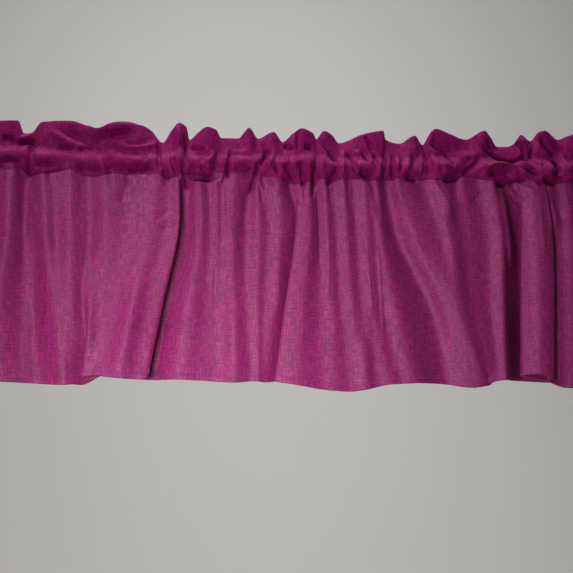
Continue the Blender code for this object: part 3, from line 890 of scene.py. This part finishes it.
def thread_finish(finish):
    """Sewing thread dyed to match: shinier than the cloth, twisted along each stitch."""
    material = bpy.data.materials.get("sewing thread")
    if material:
        return material
    material = bpy.data.materials.new("sewing thread")
    material.use_nodes = True
    tree = material.node_tree
    shader = tree.nodes["Principled BSDF"]
    shader.inputs["Specular IOR Level"].default_value = 0.5
    shader.inputs["Sheen Weight"].default_value = 0.2
    place = add_node(tree, "ShaderNodeTexCoord")
    noise = add_node(tree, "ShaderNodeTexNoise")
    noise.inputs["Scale"].default_value = 900.0
    tree.links.new(place.outputs["Object"], noise.inputs["Vector"])
    ramp = add_node(tree, "ShaderNodeValToRGB")
    for element, share in zip(ramp.color_ramp.elements, (finish.thin_share, finish.slub_share)):
        element.color = shade(finish.drop_colour, share)
    tree.links.new(noise.outputs["Fac"], ramp.inputs["Fac"])
    tree.links.new(ramp.outputs["Color"], shader.inputs["Base Color"])
    rough = add_node(tree, "ShaderNodeMapRange")
    rough.inputs["To Min"].default_value = 0.35
    rough.inputs["To Max"].default_value = 0.6
    tree.links.new(noise.outputs["Fac"], rough.inputs["Value"])
    tree.links.new(rough.outputs["Result"], shader.inputs["Roughness"])
    return material


def soft_light(lamp, power):
    """A round area light that the camera doesn't see."""
    light = bpy.data.lights.new(lamp.name, "AREA")
    light.shape = "DISK"
    light.size = lamp.size
    light.spread = math.radians(lamp.spread)
    light.energy = power
    light.color = lamp.colour
    obj = bpy.data.objects.new(lamp.name, light)
    obj.location = lamp.place
    back = Vector(lamp.place) - Vector(lamp.aim)
    obj.rotation_euler = back.to_track_quat("Z", "Y").to_euler()
    obj.visible_camera = False
    bpy.context.scene.collection.objects.link(obj)


class ValanceSizes(bpy.types.PropertyGroup):
    cut_width: FloatProperty(
        name="Cut Width",
        description="Width of the cloth before it was gathered",
        default=1.372,
        unit="LENGTH",
    )
    drop_length: FloatProperty(
        name="Drop Length",
        description="Length of the single layer with its hem let down",
        default=0.324,
        unit="LENGTH",
    )
    heading_length: FloatProperty(
        name="Heading Length",
        description="Length of cloth in the channel and ruffle",
        default=0.158,
        unit="LENGTH",
    )
    hem_height: FloatProperty(
        name="Hem Height",
        description="Height of the turned lower hem",
        default=0.009,
        unit="LENGTH",
    )
    hem_turn: FloatProperty(
        name="Hem Turn",
        description="How far the turned cloth stands behind the front",
        default=0.0011,
        unit="LENGTH",
    )
    stitch_length: FloatProperty(
        name="Stitch Length",
        description="Length of one machine stitch",
        default=0.0023,
        unit="LENGTH",
    )
    stitch_gap: FloatProperty(
        name="Stitch Gap", description="Gap between two stitches", default=0.0007, unit="LENGTH"
    )
    thread_radius: FloatProperty(
        name="Thread Radius",
        description="Half the thickness of the sewing thread",
        default=0.00022,
        unit="LENGTH",
    )
    columns: IntProperty(
        name="Columns",
        description="Columns of the fine cloth mesh across the width",
        default=1100,
        min=200,
        max=1100,
    )


class ValanceFinish(bpy.types.PropertyGroup):
    drop_colour: FloatVectorProperty(
        name="Drop Colour",
        description="Dye of the single layer",
        default=(0.252, 0.009, 0.114),
        subtype="COLOR",
    )
    # Painted shade: the doubled cloth is the drop's own dye, made darker and more saturated to
    # stand in for the shade that falls on the heading
    heading_painted_shade_colour: FloatVectorProperty(
        name="Heading Colour",
        description="Dye of the doubled cloth",
        default=(0.218, 0.003, 0.092),
        subtype="COLOR",
    )
    thin_share: FloatProperty(
        name="Thin Share", description="How light the thin runs are beside the dye", default=0.62
    )
    slub_share: FloatProperty(
        name="Slub Share", description="How light thick threads are beside the dye", default=1.7
    )
    sheen_tint: FloatVectorProperty(
        name="Sheen Tint",
        description="Colour of the soft edge sheen",
        default=(1.0, 0.62, 0.86),
        subtype="COLOR",
    )
    sheen: FloatProperty(
        name="Sheen", description="Strength of the soft edge sheen", default=0.08, subtype="FACTOR"
    )
    drop_gloss: FloatProperty(
        name="Drop Gloss",
        description="Strength of the plain shine on the single layer",
        default=0.46,
        subtype="FACTOR",
    )
    heading_gloss: FloatProperty(
        name="Heading Gloss",
        description="Strength of the plain shine on the doubled cloth",
        default=0.12,
        subtype="FACTOR",
    )
    roughness: FloatProperty(
        name="Roughness", description="How dull the shine is", default=0.58, subtype="FACTOR"
    )
    slub_contrast: FloatProperty(
        name="Slub Contrast", description="How much the threads vary", default=1.25
    )
    thread_pitch: FloatProperty(
        name="Thread Pitch",
        description="Distance between two threads",
        default=0.0008,
        unit="LENGTH",
    )
    thread_relief: FloatProperty(
        name="Thread Relief",
        description="How far thick threads stand up",
        default=0.00013,
        unit="LENGTH",
    )


class ValanceStage(bpy.types.PropertyGroup):
    azimuth: FloatProperty(
        name="Azimuth",
        description="Camera's side angle",
        default=math.radians(-4.1),
        unit="ROTATION",
    )
    elevation: FloatProperty(
        name="Elevation",
        description="Camera's height angle",
        default=math.radians(-8.8),
        unit="ROTATION",
    )
    distance: FloatProperty(
        name="Distance",
        description="From the camera to the point it looks at",
        default=1.357,
        unit="LENGTH",
    )
    aim: FloatVectorProperty(
        name="Aim",
        description="Point that the camera looks at",
        default=(0, 0, -0.186),
        subtype="TRANSLATION",
    )
    lens: FloatProperty(name="Lens", description="Focal length in millimetres", default=58.5)
    floor_height: FloatProperty(
        name="Floor Height", description="Height of the floor", default=-1.25, unit="LENGTH"
    )
    wall_depth: FloatProperty(
        name="Wall Depth", description="How far back the sweep rises", default=3.6, unit="LENGTH"
    )
    floor_colour: FloatVectorProperty(
        name="Floor Colour",
        description="Pale floor and sweep",
        default=(0.80, 0.79, 0.77),
        subtype="COLOR",
    )
    key_power: FloatProperty(
        name="Key Power", description="Soft light from above left, in watts", default=11.2
    )
    fill_power: FloatProperty(
        name="Fill Power", description="Soft light from low in front, in watts", default=1.55
    )
    sweep_power: FloatProperty(
        name="Sweep Power", description="Light on the sweep alone, in watts", default=60.0
    )
    room_light: FloatProperty(
        name="Room Light", description="Even light from all round", default=0.065
    )


class VALANCE_OT_hanging_cloth(bpy.types.Operator):
    """Builds the single layer with its folds, creases, turned hems and hem stitches"""

    bl_idname = "valance.hanging_cloth"
    bl_label = "Hanging Cloth"

    def execute(self, context):
        sizes = context.scene.valance_sizes
        finish = context.scene.valance_finish
        levels = cloth_levels(sizes.columns)
        hem_share = sizes.hem_height / MM / (LOWER_Z - min(f.hem_z for f in FOLDS))
        fine = np.linspace(0.0, FINE_TO, FINE_ROWS, endpoint=False)
        plain = np.linspace(FINE_TO, 3 - hem_share, PLAIN_ROWS, endpoint=False)
        hem = np.linspace(3 - hem_share, 3.0, HEM_ROWS + 1)
        places = np.concatenate([fine, plain, hem])
        cloth = down_the_columns(levels, places)
        below = CHANNEL_SEAM_Z - cloth[:, :, 2]
        cloth[:, :, 2] -= table_values(SLUMPS, "sag", cloth[0, :, 0]) * np.exp(-below / SAG_REACH)

        x, z = cloth[:, :, 0], cloth[:, :, 2]
        normal = outward(cloth)
        facing = eased((-normal[:, :, 1] - SIDE_ON) / SIDE_FADE)
        facing = mixed(1.0, facing, eased(below / CREASES_FROM))
        relief = crease_relief(x, z, HEADING_CREASES + DROP_CREASES)
        puckers = small_gathers(x) * np.exp(-((below / DROP_PUCKERS) ** 2))
        relief += puckers + soft_unevenness(x, z) * eased(below / WAVINESS_FROM)
        cloth[:, :, 1] -= relief * facing

        normal = outward(cloth)
        row = len(places) - 1 - HEM_ROWS
        hem_step = np.zeros(len(places))
        hem_step[row] = -HEM_DIP
        hem_step[row + 1 :] = HEM_SWELL
        cloth += normal * hem_step[:, None, None]

        last_row, last_column = len(places) - 1, sizes.columns - 1
        turned_rows = np.arange(last_row - 1, row - 2, -1)
        rows = np.concatenate([np.arange(last_row + 1), turned_rows])
        side = np.arange(1, SIDE_HEM_COLUMNS + 1)
        columns = np.concatenate([side[::-1], np.arange(last_column + 1), last_column - side])
        behind_rows = np.arange(len(rows)) > last_row
        behind_columns = np.ones(len(columns))
        behind_columns[SIDE_HEM_COLUMNS:-SIDE_HEM_COLUMNS] = 0.0
        behind = (behind_rows[:, None] + behind_columns[None, :]) * sizes.hem_turn / MM
        sheet = cloth[rows][:, columns] - normal[rows][:, columns] * behind[:, :, None]

        across = np.linspace(0, sizes.cut_width, sizes.columns)
        along = -(CHANNEL_SEAM_Z - np.mean(cloth[:, :, 2], axis=1)) * MM
        u = np.concatenate([-across[side[::-1]], across, across[-1] + across[side]])
        v = np.concatenate([along, 2 * along[-1] - along[turned_rows]])
        place = np.stack(np.meshgrid(u, v), axis=-1)
        material = cloth_finish("hanging cloth", finish, finish.drop_colour, finish.drop_gloss)
        piece = sheet_object("hanging_cloth", sheet, place, material)
        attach(piece, "root")
        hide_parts("drop")

        lines = [(cloth[row], normal[row])]
        stitches = stitch_object("hem_stitches", lines, sizes, thread_finish(finish))
        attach(stitches, "root")
        return {"FINISHED"}


class VALANCE_OT_gathered_heading(bpy.types.Operator):
    """Builds the doubled strip: the puckered rod channel, the ruffle and both stitch lines"""

    bl_idname = "valance.gathered_heading"
    bl_label = "Gathered Heading"

    def execute(self, context):
        sizes = context.scene.valance_sizes
        finish = context.scene.valance_finish
        seam = cloth_levels(sizes.columns)[0]
        seam_x, seam_y = seam[:, 0], seam[:, 1]
        sag, neck_slump, flat = (table_values(SLUMPS, name, seam_x) for name in Slump._fields[1:])
        low, neck_z = CHANNEL_SEAM_Z - sag, NECK_Z - neck_slump
        top, out, lean, swell, puff = (
            table_values(GATHERS, name, seam_x) for name in Gather._fields[1:]
        )

        def channel_row(share, reach, neck_side):
            y = mixed(NECK_Y, seam_y, (1 - share) ** SEAM_FADE)
            y = y + reach * max(math.sin(math.pi * share), 0.0) ** mixed(BELLY, NECK_VALLEY, share)
            y = y + (neck_side - out * NECK_SHARE) * share**NECK_FADE
            return np.stack([seam_x, y, mixed(low, neck_z, share)], axis=1)

        def ruffle_row(share, side):
            turn = max(share - RUFFLE_ROUND, 0.0) / (1 - RUFFLE_ROUND) * math.pi / 2
            height = min(share, RUFFLE_ROUND) + (1 - RUFFLE_ROUND) * math.sin(turn)
            puffed = puff * math.sin(math.pi * min(height, PUFF_TOP) ** PUFF_POWER)
            half = (RUFFLE_HALF + puffed) * math.cos(turn)
            y = NECK_Y - out * mixed(NECK_SHARE, 1.0, height) + side * half
            return np.stack([seam_x + lean * height, y, mixed(neck_z, top, height)], axis=1)

        wall = mixed(closer_at_ends(POCKET_ROWS), np.linspace(0, 1, POCKET_ROWS), POCKET_EVENNESS)
        front_reach = -FRONT_BULGE - swell + flat
        front = [channel_row(s, front_reach, -RUFFLE_HALF) for s in wall]
        front += [ruffle_row(s, -1) for s in ruffle_shares(RUFFLE_ROWS, RUFFLE_EDGE_ROWS)[1:]]
        back = [ruffle_row(s, 1) for s in ruffle_shares(BACK_ROWS, BACK_EDGE_ROWS)[-2::-1]]
        back += [channel_row(s, BACK_BULGE, RUFFLE_HALF) for s in closer_at_ends(BACK_ROWS)[-2::-1]]
        cloth = np.array(front + back)[::-1]
        neck_row = len(cloth) - POCKET_ROWS

        x, z = cloth[:, :, 0], cloth[:, :, 2]
        relief = crease_relief(x, z, HEADING_CREASES + DROP_CREASES)
        near_seam = np.exp(-(((z - low) / HEADING_PUCKERS) ** 2))
        near_neck = np.exp(-(((z - neck_z) / HEADING_PUCKERS) ** 2))
        relief += small_gathers(x) * near_seam + small_gathers(x + NECK_SHIFT) * near_neck
        share = np.ones(cloth.shape[:2])
        above_neck = (z[: len(back)] - neck_z + NECK_EASE / 2) / NECK_EASE
        share[: len(back)] = mixed(BACK_CREASES, 1.0, eased(above_neck))
        cloth[:, :, 1] -= relief * share
        cloth[:, :, 2] -= relief**2 / FLOP_ROOM * eased((z - neck_z) / NECK_EASE)

        steps = np.mean(np.linalg.norm(np.diff(cloth, axis=0), axis=2), axis=1)
        along = np.concatenate([np.cumsum(steps[::-1])[::-1], [0.0]]) * MM
        across = np.linspace(0, sizes.cut_width, sizes.columns)
        place = np.stack(np.meshgrid(across, along), axis=-1)
        # The heading's colour is the drop's dye darkened as painted shade
        colour, gloss = finish.heading_painted_shade_colour, finish.heading_gloss
        material = cloth_finish("gathered cloth", finish, colour, gloss)
        piece = sheet_object("gathered_heading", cloth, place, material)
        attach(piece, "root")
        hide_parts("heading")

        normal = outward(cloth)
        lines = [(cloth[row], normal[row]) for row in (neck_row, -2)]
        stitches = stitch_object("heading_stitches", lines, sizes, thread_finish(finish))
        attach(stitches, "root")
        return {"FINISHED"}


class VALANCE_OT_stage(bpy.types.Operator):
    """Sets up the pale sweep, the soft lights and the camera"""

    bl_idname = "valance.stage"
    bl_label = "Stage"

    def execute(self, context):
        stage = context.scene.valance_stage
        scene = context.scene
        scene.view_settings.view_transform = "Standard"

        bend_y, bend_z = stage.wall_depth - SWEEP_BEND, stage.floor_height + SWEEP_BEND
        profile = [(SWEEP_FRONT, stage.floor_height), (bend_y, stage.floor_height)]
        for step in range(1, BEND_STEPS + 1):
            turn = math.pi / 2 * step / BEND_STEPS
            forward, down = SWEEP_BEND * math.sin(turn), SWEEP_BEND * math.cos(turn)
            profile.append((bend_y + forward, bend_z - down))
        profile.append((stage.wall_depth, SWEEP_TOP))
        verts = [(side, y, z) for side in (-SWEEP_SIDE, SWEEP_SIDE) for y, z in profile]
        count = len(profile)
        faces = [(i, count + i, count + i + 1, i + 1) for i in range(count - 1)]
        mesh = bpy.data.meshes.new("pale_sweep")
        mesh.from_pydata(verts, [], faces)
        mesh.update()
        paint = bpy.data.materials.new("pale sweep")
        paint.use_nodes = True
        tree = paint.node_tree
        shader = tree.nodes["Principled BSDF"]
        shader.inputs["Roughness"].default_value = 0.9
        shader.inputs["Specular IOR Level"].default_value = 0.2
        shader.inputs["Base Color"].default_value = shade(stage.floor_colour)
        sweep = piece_of(mesh, paint)

        aim = Vector(stage.aim)
        soft_light(KEY_LIGHT._replace(aim=aim), stage.key_power)
        soft_light(FILL_LIGHT, stage.fill_power)
        soft_light(SWEEP_LIGHT, stage.sweep_power)
        world = bpy.data.worlds.new("soft room")
        scene.world = world
        world.use_nodes = True
        backdrop = world.node_tree.nodes["Background"]
        backdrop.inputs["Color"].default_value = (1.0, 0.99, 0.98, 1.0)
        backdrop.inputs["Strength"].default_value = stage.room_light

        turn, rise = stage.azimuth, stage.elevation
        level = math.cos(rise)
        back = Vector((math.sin(turn) * level, -math.cos(turn) * level, math.sin(rise)))
        camera = bpy.data.objects.new("camera", bpy.data.cameras.new("camera"))
        camera.data.lens = stage.lens
        camera.data.sensor_width = 36.0
        camera.location = aim + back * stage.distance
        camera.rotation_euler = back.to_track_quat("Z", "Y").to_euler()
        scene.collection.objects.link(camera)
        scene.camera = camera
        return {"FINISHED"}


class VALANCE_PT_panel(bpy.types.Panel):
    """Lists the sizes, the finish, the stage and the steps that build them"""

    bl_idname = "VALANCE_PT_panel"
    bl_label = "Gathered Valance"
    bl_space_type = "VIEW_3D"
    bl_region_type = "UI"
    bl_category = "Valance"

    def draw(self, context):
        for heading, group in (
            ("Sizes", context.scene.valance_sizes),
            ("Finish", context.scene.valance_finish),
            ("Stage", context.scene.valance_stage),
        ):
            box = self.layout.box()
            box.label(text=heading)
            for name in group.__annotations__:
                box.prop(group, name)
        self.layout.operator("valance.hanging_cloth")
        self.layout.operator("valance.gathered_heading")
        self.layout.operator("valance.stage")


CLASSES = (
    ValanceSizes,
    ValanceFinish,
    ValanceStage,
    VALANCE_OT_hanging_cloth,
    VALANCE_OT_gathered_heading,
    VALANCE_OT_stage,
    VALANCE_PT_panel,
)


def register():
    for cls in CLASSES:
        bpy.utils.register_class(cls)
    bpy.types.Scene.valance_sizes = PointerProperty(type=ValanceSizes)
    bpy.types.Scene.valance_finish = PointerProperty(type=ValanceFinish)
    bpy.types.Scene.valance_stage = PointerProperty(type=ValanceStage)


def unregister():
    del bpy.types.Scene.valance_stage
    del bpy.types.Scene.valance_finish
    del bpy.types.Scene.valance_sizes
    for cls in reversed(CLASSES):
        bpy.utils.unregister_class(cls)


def main():
    register()
    bpy.ops.valance.hanging_cloth()
    bpy.ops.valance.gathered_heading()
    bpy.ops.valance.stage()


if __name__ == "__main__":
    main()
